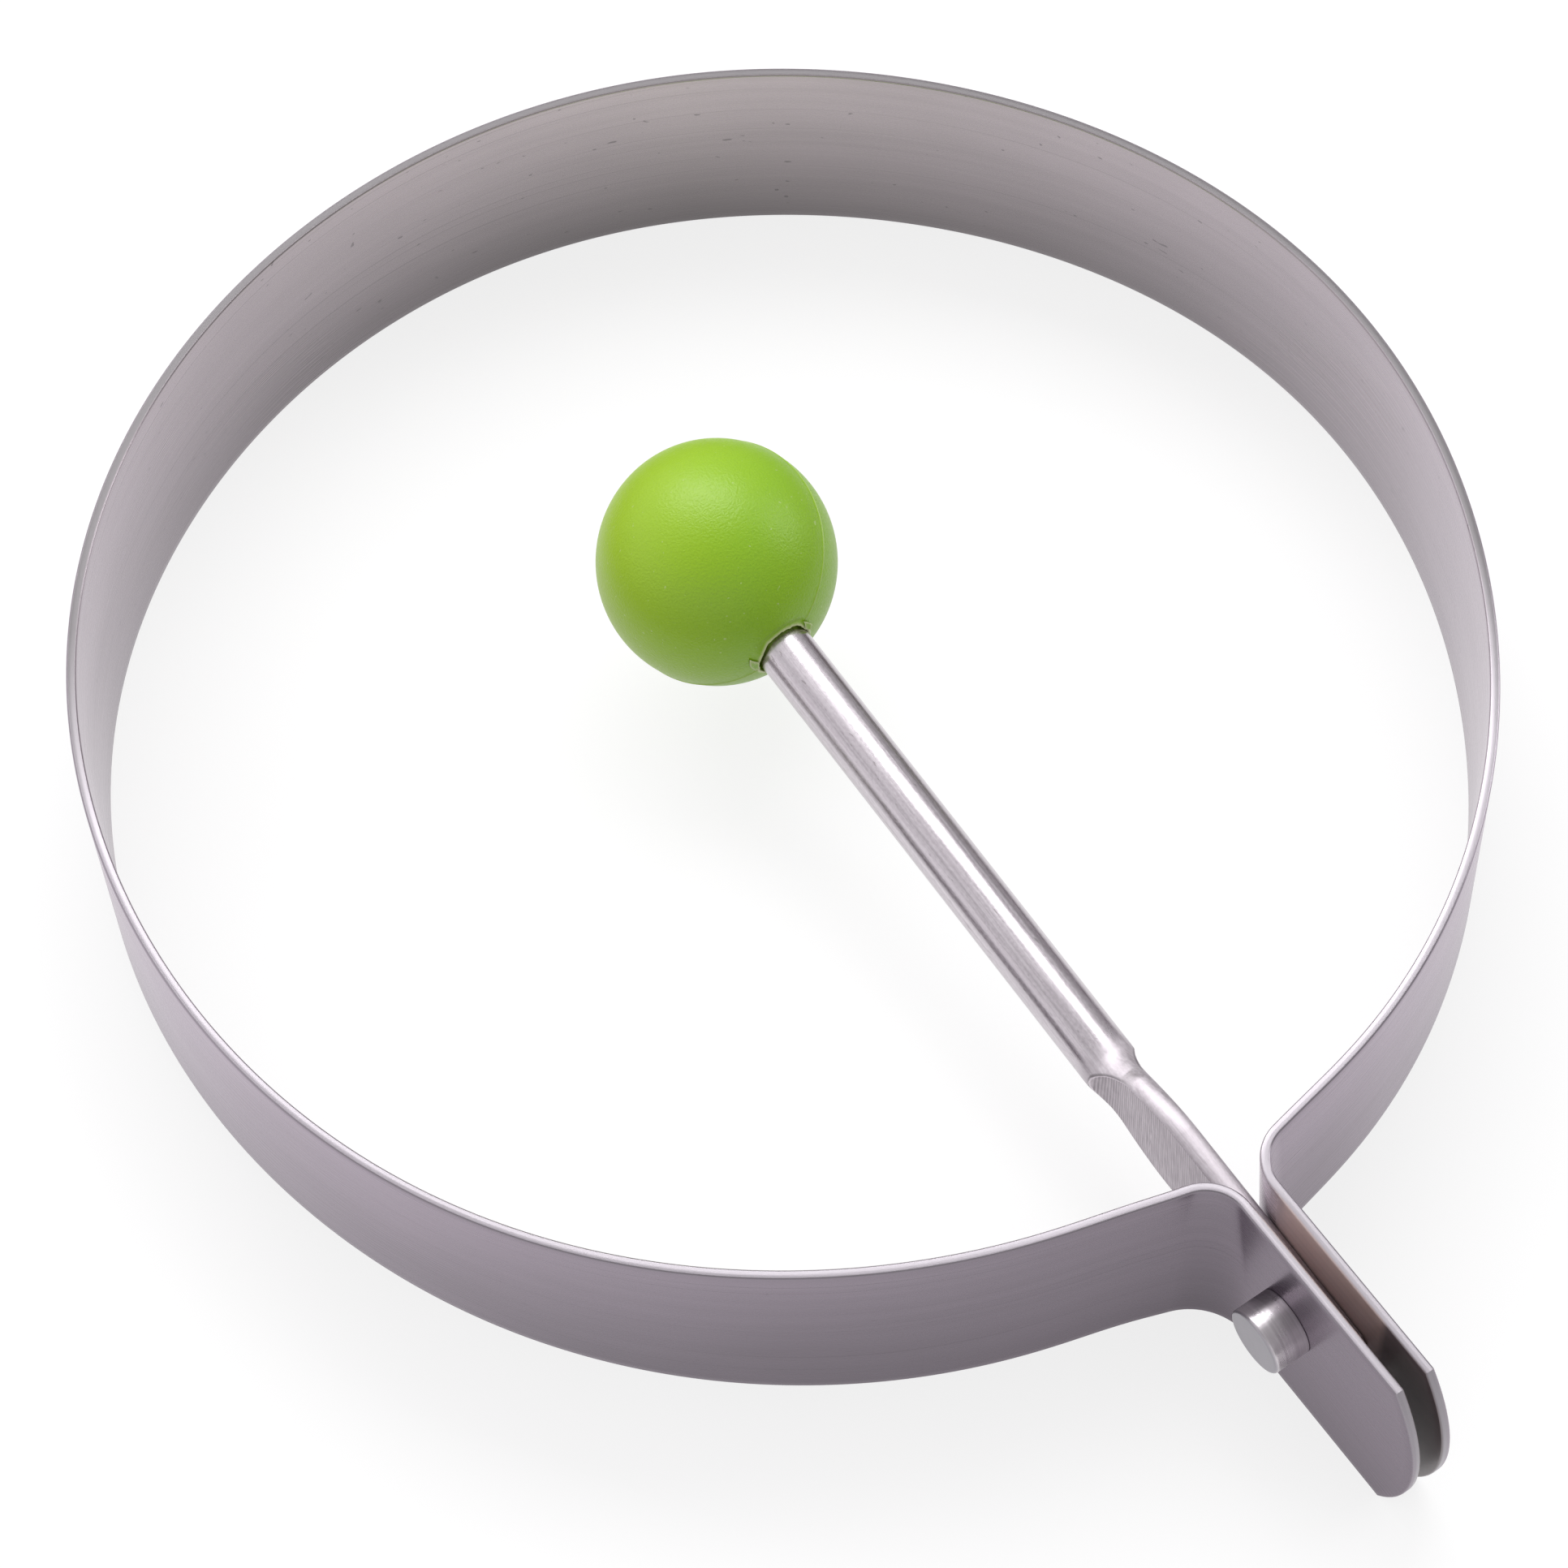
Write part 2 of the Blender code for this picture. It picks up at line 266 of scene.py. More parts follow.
def link(name, shape, place=(0, 0, 0), turn=None):
    """Turn a bmesh into a named object, faces outwards."""
    if turn is not None:
        bmesh.ops.transform(shape, matrix=turn, verts=shape.verts)
    bmesh.ops.recalc_face_normals(shape, faces=shape.faces)
    mesh = bpy.data.meshes.new(name)
    shape.to_mesh(mesh)
    shape.free()
    made = bpy.data.objects.new(name, mesh)
    bpy.context.scene.collection.objects.link(made)
    made.location = place
    return made


def bake_modifiers(thing):
    """Replace an object's mesh by the one its modifiers give."""
    bpy.context.view_layer.update()
    graph = bpy.context.evaluated_depsgraph_get()
    mesh = bpy.data.meshes.new_from_object(thing.evaluated_get(graph))
    thing.modifiers.clear()
    thing.data = mesh


def subtract(target, cutter):
    """Cut one object from another and delete the cutter."""
    cut = target.modifiers.new("cut", "BOOLEAN")
    cut.operation = "DIFFERENCE"
    cut.solver = "EXACT"
    cut.object = cutter
    bake_modifiers(target)
    bpy.data.objects.remove(cutter, do_unlink=True)


def shade(thing, sharp):
    """Smooth shading that keeps flat faces flat and edges crisp."""
    thing.data.shade_smooth()
    thing.data.set_sharp_from_angle(angle=sharp)
    flatten = thing.modifiers.new("flat_faces", "WEIGHTED_NORMAL")
    flatten.keep_sharp = True
    flatten.weight = NORMAL_WEIGHT


def store(thing, name, rows, kind="FLOAT_VECTOR"):
    """Store a value for each vertex of an object's mesh."""
    attribute = thing.data.attributes.new(name, kind, "POINT")
    field = "vector" if kind == "FLOAT_VECTOR" else "value"
    attribute.data.foreach_set(field, np.asarray(rows, np.float32).ravel())


def store_uv(thing, rows):
    """Store a UV map from a (u, v) pair for each vertex."""
    corners = np.zeros(len(thing.data.loops), np.int32)
    thing.data.loops.foreach_get("vertex_index", corners)
    layer = thing.data.uv_layers.new(name="grain_uv")
    layer.data.foreach_set("uv", np.asarray(rows, np.float32)[corners].ravel())


def vertices(thing):
    """Places of an object's vertices, one row each."""
    points = np.zeros(len(thing.data.vertices) * 3, np.float32)
    thing.data.vertices.foreach_get("co", points)
    return points.reshape(-1, 3).astype(float)


def drill_pin(name, radius, length, place):
    """A cylinder along X that cuts a round hole."""
    shape = bmesh.new()
    bmesh.ops.create_cone(
        shape, cap_ends=True, segments=RIVET_SEGMENTS,
        radius1=radius, radius2=radius, depth=length,
    )
    return link(name, shape, place, Matrix.Rotation(math.pi / 2, 4, "Y"))


def join_rings(shape, rings):
    """Faces between the rings of a stack, each ring with the next."""
    for ring_a, ring_b in zip(rings, rings[1:]):
        for index in range(len(ring_a)):
            after = (index + 1) % len(ring_a)
            shape.faces.new((ring_a[index], ring_a[after], ring_b[after], ring_b[index]))


def add_pole(shape, ring, level):
    """Close a ring about local Z with a point on the axis."""
    pole = shape.verts.new((0, 0, level))
    for index in range(len(ring)):
        shape.faces.new((ring[index], ring[(index + 1) % len(ring)], pole))


def turned(profile, segments):
    """Closed body of revolution about local Z from (radius, height) points, axis to axis."""
    shape = bmesh.new()
    turns = [math.tau * step / segments for step in range(segments)]
    rings = []
    for radius, height in profile[1:-1]:
        places = [(radius * math.cos(turn), radius * math.sin(turn), height) for turn in turns]
        rings.append([shape.verts.new(place) for place in places])
    join_rings(shape, rings)
    add_pole(shape, rings[0], profile[0][1])
    add_pole(shape, rings[-1], profile[-1][1])
    return shape


# The band

def hoop(rim, turn):
    """Middle line of a rim about the hoop's centre: point and outward normal."""
    turn = math.remainder(turn, math.tau)
    flare = rim.flare_share * math.exp(-((turn / FLARE_SPREAD) ** 2))
    share, slope = 1 + flare, -2 * flare * turn / FLARE_SPREAD**2
    for lobes, (cos_share, sin_share) in enumerate(rim.lobe_shares, FIRST_LOBES):
        share += cos_share * math.cos(lobes * turn) + sin_share * math.sin(lobes * turn)
        slope += lobes * (sin_share * math.cos(lobes * turn) - cos_share * math.sin(lobes * turn))
    along = Vector((math.sin(turn), -math.cos(turn)))
    across = Vector((math.cos(turn), math.sin(turn)))
    travel = (slope * along + share * across).normalized()
    return HOOP_CENTRE + HOOP_RADIUS * share * along, Vector((travel.y, -travel.x))


def bend(rim, side):
    """Where a rim's bend into a leaf leaves the hoop, and the bend's centre and middle radius."""
    radius = rim.bend + SHEET / 2
    low, high = 0, math.pi / 4
    for _ in range(BISECTIONS):
        turn = (low + high) / 2
        point, outward = hoop(rim, side * turn)
        centre = point + outward * radius
        if side * (centre.x - PIVOT.x) < LEAF_MIDDLE + radius:
            low = turn
        else:
            high = turn
    return side * turn, centre, radius


def bend_points(rim, side):
    """Middle line of a rim's bend: point and outward normal, from the hoop to the leaf."""
    turn, centre, radius = bend(rim, side)
    outward = hoop(rim, turn)[1]
    first = math.atan2(-outward.y, -outward.x)
    last = math.pi if side > 0 else 0
    for step in range(BEND_STEPS + 1):
        angle = first + (last - first) * step / BEND_STEPS
        spoke = Vector((math.cos(angle), math.sin(angle)))
        yield centre + spoke * radius, -spoke


def leaf_end(height):
    """Y of a leaf's rounded end at a height."""
    half = BAND_HEIGHT / 2
    radius = (half * half + LEAF_BULGE * LEAF_BULGE) / (2 * LEAF_BULGE)
    return LEAF_CORNER_Y - LEAF_BULGE + radius - math.sqrt(radius * radius - (height - half) ** 2)


def strip_path(rim):
    """Middle line of the strip at a rim, from the +X leaf round the hoop to the -X leaf."""
    far, near = list(bend_points(rim, 1)), list(bend_points(rim, -1))
    start, end = bend(rim, 1)[0], math.tau + bend(rim, -1)[0]
    turns = [start + (end - start) * step / HOOP_STEPS for step in range(1, HOOP_STEPS)]
    return far[::-1] + [hoop(rim, turn) for turn in turns] + near


def strip_at(height, top_path, bottom_path):
    """Middle line at a height, leaves included."""
    share = height / BAND_HEIGHT
    line = []
    for (top, top_out), (bottom, bottom_out) in zip(top_path, bottom_path):
        line.append((bottom.lerp(top, share), bottom_out.lerp(top_out, share).normalized()))
    tip = leaf_end(height)
    far, near = [], []
    for column in range(LEAF_COLUMNS):
        part = column / LEAF_COLUMNS
        for side, (point, outward), leaf in ((1, line[0], far), (-1, line[-1], near)):
            leaf.append((Vector((point.x, tip + (point.y - tip) * part)), Vector((side, 0))))
    return far + line + near[::-1]


def strip_shape(top_path, bottom_path):
    """The bent strip with rounded rims, still without its holes."""
    shape = bmesh.new()
    inner, outer = [], []
    for level in range(LEVELS + 1):
        height = BAND_HEIGHT * level / LEVELS
        line = strip_at(height, top_path, bottom_path)
        for rail, side in ((inner, -1), (outer, 1)):
            row = [shape.verts.new((*(p + out * side * SHEET / 2), height)) for p, out in line]
            rail.append(row)
    last = len(inner[0]) - 1
    for level in range(LEVELS):
        for rail in (inner, outer):
            for index in range(last):
                shape.faces.new((rail[level][index], rail[level][index + 1],
                                 rail[level + 1][index + 1], rail[level + 1][index]))
        for index in (0, last):
            shape.faces.new((inner[level][index], outer[level][index],
                             outer[level + 1][index], inner[level + 1][index]))
    for level in (0, LEVELS):
        for index in range(last):
            shape.faces.new((inner[level][index], inner[level][index + 1],
                             outer[level][index + 1], outer[level][index]))
    bmesh.ops.recalc_face_normals(shape, faces=shape.faces)
    rims = []
    for rail in (inner, outer):
        border = rail[0] + [row[last] for row in rail[1:]] + rail[LEVELS][:last][::-1]
        border += [row[0] for row in rail[1:LEVELS]][::-1]
        rims += [shape.edges.get(pair) for pair in zip(border, border[1:] + border[:1])]
    bmesh.ops.bevel(
        shape, geom=rims, offset=RIM_ROUND, segments=RIM_ROUND_STEPS, profile=0.5,
        affect="EDGES", clamp_overlap=False,
    )
    return shape


def mark_strip(band, top_path, bottom_path):
    """Store each vertex's place on the flat strip, and how far it is on a leaf and on a rim."""
    middle = strip_at(BAND_HEIGHT / 2, top_path, bottom_path)
    tree = kdtree.KDTree(len(middle))
    run = [0.0]
    for (a, _), (b, _) in zip(middle, middle[1:]):
        run.append(run[-1] + (b - a).length)
    for index, (point, _) in enumerate(middle):
        tree.insert((*point, 0), index)
    tree.balance()
    rows, edges, leaves = [], [], []
    for x, y, z in vertices(band):
        index = tree.find((x, y, 0))[1]
        point, out = middle[index]
        step = Vector((x, y)) - point
        along = run[index] + step.dot(Vector((-out.y, out.x)))
        off = sheet_offset(Vector((x, y)), z, index, top_path, bottom_path)
        rows.append((run[-1] - along, z, off))
        edges.append(min(1, max(0, (SHEET / 2 - abs(off)) / RIM_ROUND)))
        leaves.append(smooth(PIVOT.y + LEAF_STARTS - y, 0, LEAF_FADE))
    store(band, "strip", rows)
    store(band, "leaf", leaves, "FLOAT")
    store(band, "rim", edges, "FLOAT")
    store_uv(band, [(row[0], row[1]) for row in rows])


def build_band():
    top_path, bottom_path = strip_path(TOP_RIM), strip_path(BOTTOM_RIM)
    band = link("band_strip", strip_shape(top_path, bottom_path))
    subtract(band, drill_pin("leaf_drill", HOLE_RADIUS, 4 * LEAF_OUTSIDE, PIVOT))
    mark_strip(band, top_path, bottom_path)
    shade(band, BAND_SHARP)
    return band


def sheet_offset(point, height, index, top_path, bottom_path):
    """Signed distance of a point from the sheet's middle, near a station of the middle line."""
    inside = index - LEAF_COLUMNS
    if inside < 0 or inside >= len(top_path):
        side = 1 if inside < 0 else -1
        return side * (point.x - PIVOT.x) - LEAF_MIDDLE
    share = height / BAND_HEIGHT
    best = None
    first, last = inside - NEAR_STATIONS, inside + NEAR_STATIONS
    for near in range(max(0, first), min(len(top_path), last + 1)):
        (top, top_out), (bottom, bottom_out) = top_path[near], bottom_path[near]
        middle, out = bottom.lerp(top, share), bottom_out.lerp(top_out, share).normalized()
        step = point - middle
        if best is None or step.length < best[0]:
            best = (step.length, step.dot(out))
    return best[1]


# The handle

def centre_line(reach):
    """Height and slope of the handle's middle line over the rivet, at a distance from it."""
    rise = math.tan(ROD_TILT)
    start = KNEE - KNEE_SPREAD
    if reach <= start:
        return 0, 0
    if reach >= KNEE + KNEE_SPREAD:
        return rise * (reach - KNEE), rise
    past = reach - start
    return rise * past ** 2 / (4 * KNEE_SPREAD), rise * past / (2 * KNEE_SPREAD)


def die_gap(reach):
    """Thickness that the press leaves between its two dies."""
    flat = flat_thickness(reach)
    if reach <= DIE_START:
        return flat
    run, rise = DIE_END - DIE_START, (ROD_DIAMETER - NECK_THICKNESS) / 2
    radius = (run * run + rise * rise) / (2 * rise)
    over = min(reach - DIE_START, run + ROD_CHAMFER)
    return flat + 2 * (radius - math.sqrt(radius * radius - over * over))


def pressed_to(half, reach):
    """Half width of the handle as the dies leave it, with an eased edge near the shoulder."""
    die = die_gap(reach) / 2
    ease = SHARP_EASE + (DIE_EASE - SHARP_EASE) * smooth(reach, NECK - ROD_CHAMFER, SHOULDER)
    share = min(1, max(0, (1 + (die - half) / ease) / 2))
    return die + (half - die) * share - ease * share * (1 - share)


def smooth(value, low, high):
    """Smooth step from 0 at low to 1 at high."""
    part = min(1, max(0, (value - low) / (high - low)))
    return part * part * (3 - 2 * part)


def flat_thickness(reach):
    """Thickness of the blade and neck, which widens a little towards the ball."""
    return float(np.interp(reach, (BLADE_FULL, DIE_START), (BLADE_THICKNESS, NECK_THICKNESS)))


def handle_stations():
    """(distance from the rivet, thickness before the flats are pressed, height, crown share)."""
    thickness = BLADE_THICKNESS + PRESS_SWELL
    yield -BLADE_TAIL, thickness, BLADE_HEIGHT - 2 * BLADE_CORNER, CROWN_SHARE
    yield BLADE_CORNER - BLADE_TAIL, thickness, BLADE_HEIGHT, CROWN_SHARE
    for reach in np.linspace(BLADE_FULL, SWELL_END, FORGED_STEPS).tolist():
        swell = smooth(reach, SWELL_START, SWELL_END)
        part = min(1, (reach - BLADE_FULL) / (NECK - BLADE_FULL))
        height = BLADE_HEIGHT + (1 - math.cos(part * math.pi / 2)) * (NECK_HEIGHT - BLADE_HEIGHT)
        thickness = flat_thickness(reach) + PRESS_SWELL
        yield (
            reach,
            thickness + swell * (ROD_DIAMETER - thickness),
            height + swell * (ROD_DIAMETER - height),
            CROWN_SHARE + swell * (1 - CROWN_SHARE),
        )
    tip = BALL_REACH + ROD_PAST_CENTRE
    for reach in np.linspace(SWELL_END, tip - ROD_CHAMFER, ROD_STEPS).tolist()[1:]:
        yield reach, ROD_DIAMETER, ROD_DIAMETER, 1
    yield tip, ROD_DIAMETER - 2 * ROD_CHAMFER, ROD_DIAMETER - 2 * ROD_CHAMFER, 1


def section(shape, reach, thickness, height, crown):
    """One ring of the handle, square to its middle line: flat flanks between crowned edges."""
    rise, slope = centre_line(reach)
    upright = Vector((0, -slope, 1)).normalized()
    centre = Vector((0, reach, rise))
    bulge = crown * thickness / 2
    verts = []
    for side in (1, -1):
        for step in range(SECTION_STEPS):
            angle = math.pi * (step + 1 / 2) / SECTION_STEPS
            up = height / 2 - bulge + bulge * math.sin(angle)
            if side > 0:
                up -= TAIL_DROP * (1 - smooth(reach, DROP_START, DROP_END))
            place = centre + side * up * upright
            half = thickness / 2 * abs(math.cos(angle))
            place.x = math.copysign(pressed_to(half, place.y), side * math.cos(angle))
            verts.append(shape.verts.new(place))
    return verts


def build_rod():
    shape = bmesh.new()
    rings = [section(shape, *station) for station in handle_stations()]
    join_rings(shape, rings)
    shape.faces.new(rings[0])
    shape.faces.new(rings[-1])
    rod = link("rod_forged", shape, PIVOT)
    subtract(rod, drill_pin("blade_drill", HOLE_RADIUS, 4 * BLADE_THICKNESS, PIVOT))
    mark_rod(rod)
    shade(rod, ROD_SHARP)
    return rod


def mark_rod(rod):
    """Store the grain's direction, the pressed flats, the forged end, and a painted highlight and
    dark reflection line at the die's edge.
    """
    rows, flats, forged, edges = [], [], [], []
    cos, sin = math.cos(ROD_TILT), math.sin(ROD_TILT)
    for x, y, z in vertices(rod):
        along, up = y, z
        if y > KNEE:
            along, up = KNEE + (y - KNEE) * cos + z * sin, z * cos - (y - KNEE) * sin
        rows.append((x, along, up))
        inside = die_gap(y) / 2 - abs(x)
        flats.append((1 - smooth(inside, WELD, DIE_EASE / 4)) * (y < DIE_END))
        forged.append(1 - smooth(y, SHOULDER - ROD_CHAMFER, SHOULDER + ROD_DIAMETER / 2))
        # Painted highlight and painted dark reflection line along the die's edge, by the depth
        # below the die's face
        fall = max(0, inside) / DIE_EASE * (DIE_START < y < DIE_END)
        line = smooth(fall, *EDGE_HIGHLIGHT_DEPTHS) - 2 * smooth(fall, *EDGE_DARK_LINE_DEPTHS)
        line += smooth(fall, *EDGE_ENDS)
        edges.append(line * smooth(y, DIE_START, NECK))
    store(rod, "grain", rows)
    store(rod, "pressed", flats, "FLOAT")
    store(rod, "forged", forged, "FLOAT")
    store(rod, "edge", edges, "FLOAT")
    store_uv(rod, [(row[1], row[2] + row[0]) for row in rows])


# The ball

def lip_shape(angle):
    """(radius, height, sink) of the hole's torn lip at an angle round the hole."""
    around = Vector((math.cos(angle), math.sin(angle), 0))
    wide = smooth(around.y, LIP_OPENS_SHARE, 1)
    radius = LIP_RADIUS + LIP_WIDER * wide
    wave = noise.noise(around * 2.9) + 0.5 * noise.noise(around * 11)
    radius += LIP_WAVE * max(0, around.y) * wave
    ragged = 0.6 + 0.6 * noise.noise(around * 3.1) + 0.5 * noise.noise(around * 12)
    return radius, LIP_HEIGHT * max(0.2, ragged), LIP_SINK * wide


def build_ball():
    radius = BALL_DIAMETER / 2
    socket = ROD_DIAMETER / 2 + SOCKET_CLEARANCE
    floor = -(ROD_PAST_CENTRE + HOLE_PAST_ROD) / math.cos(ROD_TILT)
    turns = [math.tau * step / BALL_SEGMENTS for step in range(BALL_SEGMENTS)]
    lips = [lip_shape(turn) for turn in turns]
    shape = bmesh.new()
    pale = shape.verts.layers.float.new("lip")
    rings = []

    def surface(reach):
        return math.sqrt(radius * radius - reach * reach)

    def add_ring(reaches, levels, paleness=0):
        ring = []
        for turn, reach, level in zip(turns, reaches, levels):
            vert = shape.verts.new((reach * math.cos(turn), reach * math.sin(turn), level))
            vert[pale] = paleness
            ring.append(vert)
        rings.append(ring)

    def add_round(reach, level):
        add_ring([reach] * BALL_SEGMENTS, [level] * BALL_SEGMENTS)

    def add_lip(out, lift, paleness):
        reaches = [lip + out * LIP_THICKNESS for lip, _, _ in lips]
        levels = [
            surface(reach) + lift * height - sink
            for reach, (_, height, sink) in zip(reaches, lips)
        ]
        add_ring(reaches, levels, paleness)

    mouth = math.asin(MOUTH_RADIUS / radius)
    for ring in range(1, BALL_RINGS + 1):
        polar = math.pi + (mouth - math.pi) * ring / BALL_RINGS
        add_round(radius * math.sin(polar), radius * math.cos(polar))
    for share in SINK_SHARES:
        fall = share * share * (3 - 2 * share)
        reaches = [
            MOUTH_RADIUS + share * (lip + 2 * LIP_THICKNESS - MOUTH_RADIUS) for lip, _, _ in lips
        ]
        levels = [surface(reach) - fall * sink for reach, (_, _, sink) in zip(reaches, lips)]
        add_ring(reaches, levels)
    for out, lift, paleness in LIP_RINGS:
        add_lip(out, lift, paleness)
    for share in THROAT_SHARES:
        reaches = [lip + share * (socket - lip) for lip, _, _ in lips]
        levels = [surface(lip) - sink for lip, _, sink in lips]
        add_ring(reaches, [level + share * (RECESS_LEVEL - level) for level in levels])
    for level in np.linspace(RECESS_LEVEL, floor, SOCKET_RINGS).tolist():
        add_round(socket, level)
    join_rings(shape, rings)
    add_pole(shape, rings[0], -radius)
    add_pole(shape, rings[-1], floor)
    turn = Matrix.Rotation(math.pi / 2 + ROD_TILT, 4, "X")
    bmesh.ops.transform(shape, matrix=turn, verts=shape.verts)
    raise_seam(shape, radius)
    torn = bmesh.new()
    torn_pale = torn.verts.layers.float.new("lip")
    for corners in FLAKES:
        add_flake(torn, torn_pale, corners, surface)
    bmesh.ops.transform(torn, matrix=turn, verts=torn.verts)
    bmesh.ops.recalc_face_normals(torn, faces=torn.faces)
    flakes = bpy.data.meshes.new("flakes")
    torn.to_mesh(flakes)
    torn.free()
    shape.from_mesh(flakes)
    bpy.data.meshes.remove(flakes)
    place = PIVOT + Vector((0, BALL_REACH, centre_line(BALL_REACH)[0]))
    oval = Matrix.Scale(BALL_OVAL_SHARE, 4, BALL_OVAL_AXIS.normalized())
    ball = link("ball_moulded", shape, place, oval)
    shade(ball, BALL_SHARP)
    return ball


def add_flake(shape, pale, corners, surface):
    """A thin torn scrap of plastic that lies on the ball beside the hole, pale along its edges."""
    sheets = []
    for depth in (0, FLAKE_THICKNESS):
        sheet = []
        for row in range(FLAKE_STEPS + 1):
            for column in range(FLAKE_STEPS + 1):
                u, v = row / FLAKE_STEPS, column / FLAKE_STEPS
                shares = ((1 - u) * (1 - v), (1 - u) * v, u * v, u * (1 - v))
                reach, turn, lift = (
                    sum(s * c for s, c in zip(shares, values)) for values in zip(*corners)
                )
                turn = math.radians(turn)
                ripple = noise.noise(Vector((reach * FLAKE_RIPPLES, turn * 9, 0.5)))
                reach += FLAKE_THICKNESS * ripple
                level = surface(reach) + lift * (1 + 0.5 * ripple) - depth
                vert = shape.verts.new((reach * math.cos(turn), reach * math.sin(turn), level))
                inside = min(u, 1 - u, v, 1 - v)
                vert[pale] = 1 - smooth(inside, 0, FLAKE_RIM_SHARE)
                sheet.append(vert)
        sheets.append(sheet)
    side = FLAKE_STEPS + 1
    for sheet in sheets:
        for row in range(FLAKE_STEPS):
            for column in range(FLAKE_STEPS):
                first = row * side + column
                corner_places = (first, first + 1, first + side + 1, first + side)
                shape.faces.new([sheet[place] for place in corner_places])
    border = list(range(side)) + [row * side + side - 1 for row in range(1, side)]
    border += [side * side - 2 - step for step in range(side - 1)]
    border += [row * side for row in range(side - 2, 0, -1)]
    for a, b in zip(border, border[1:] + border[:1]):
        shape.faces.new((sheets[0][a], sheets[0][b], sheets[1][b], sheets[1][a]))


def raise_seam(shape, radius):
    """Raise the fine parting line where the mould's halves met."""
    normal = SEAM_NORMAL.normalized()
    line = shape.verts.layers.float.new("seam")
    for offset in SEAM_OFFSETS:
        bmesh.ops.bisect_plane(
            shape, geom=shape.verts[:] + shape.edges[:] + shape.faces[:], dist=WELD,
            plane_co=normal * offset, plane_no=normal,
        )
    for vert in shape.verts:
        off = abs(vert.co.dot(normal))
        if off < SEAM_OFFSETS[-1] and abs(vert.co.length - radius) < SEAM_HEIGHT:
            crest = smooth(SEAM_OFFSETS[-1] - off, 0, SEAM_OFFSETS[-1])
            vert[line] = crest
            vert.co += vert.co.normalized() * SEAM_HEIGHT * crest


# The rivet

def rounded_corner(radius, height, round_radius):
    """Points of a rounded outer corner of a turned profile, from the side to the end face."""
    for step in range(ROUND_STEPS + 1):
        angle = math.pi / 2 * step / ROUND_STEPS
        yield (
            radius - round_radius * (1 - math.cos(angle)),
            height - round_radius * (1 - math.sin(angle)),
        )


def build_rivet():
    shank, head, far = SHANK_DIAMETER / 2, HEAD_DIAMETER / 2, FAR_HEAD_DIAMETER / 2
    seat, top = LEAF_OUTSIDE, LEAF_OUTSIDE + HEAD_HEIGHT
    profile = []
    for step in range(2 * ROUND_STEPS + 1):
        angle = math.pi / 2 * step / (2 * ROUND_STEPS)
        profile.append((far * math.sin(angle), -seat - FAR_HEAD_HEIGHT * math.cos(angle)))
    profile += [(shank, -seat), (shank, seat)]
    profile += [(head - HEAD_UNDERCUT, seat), (head, seat + HEAD_UNDERCUT)]
    profile += list(rounded_corner(head, top, HEAD_ROUND))
    profile += [(head * share, top) for share in (0.85, 0.6, 0.3, 0)]
    turn = Matrix.Rotation(-math.pi / 2, 4, "Y")
    rivet = link("rivet_plain", turned(profile, RIVET_SEGMENTS), PIVOT, turn)
    shade(rivet, RIVET_SHARP)
    return rivet


# Materials

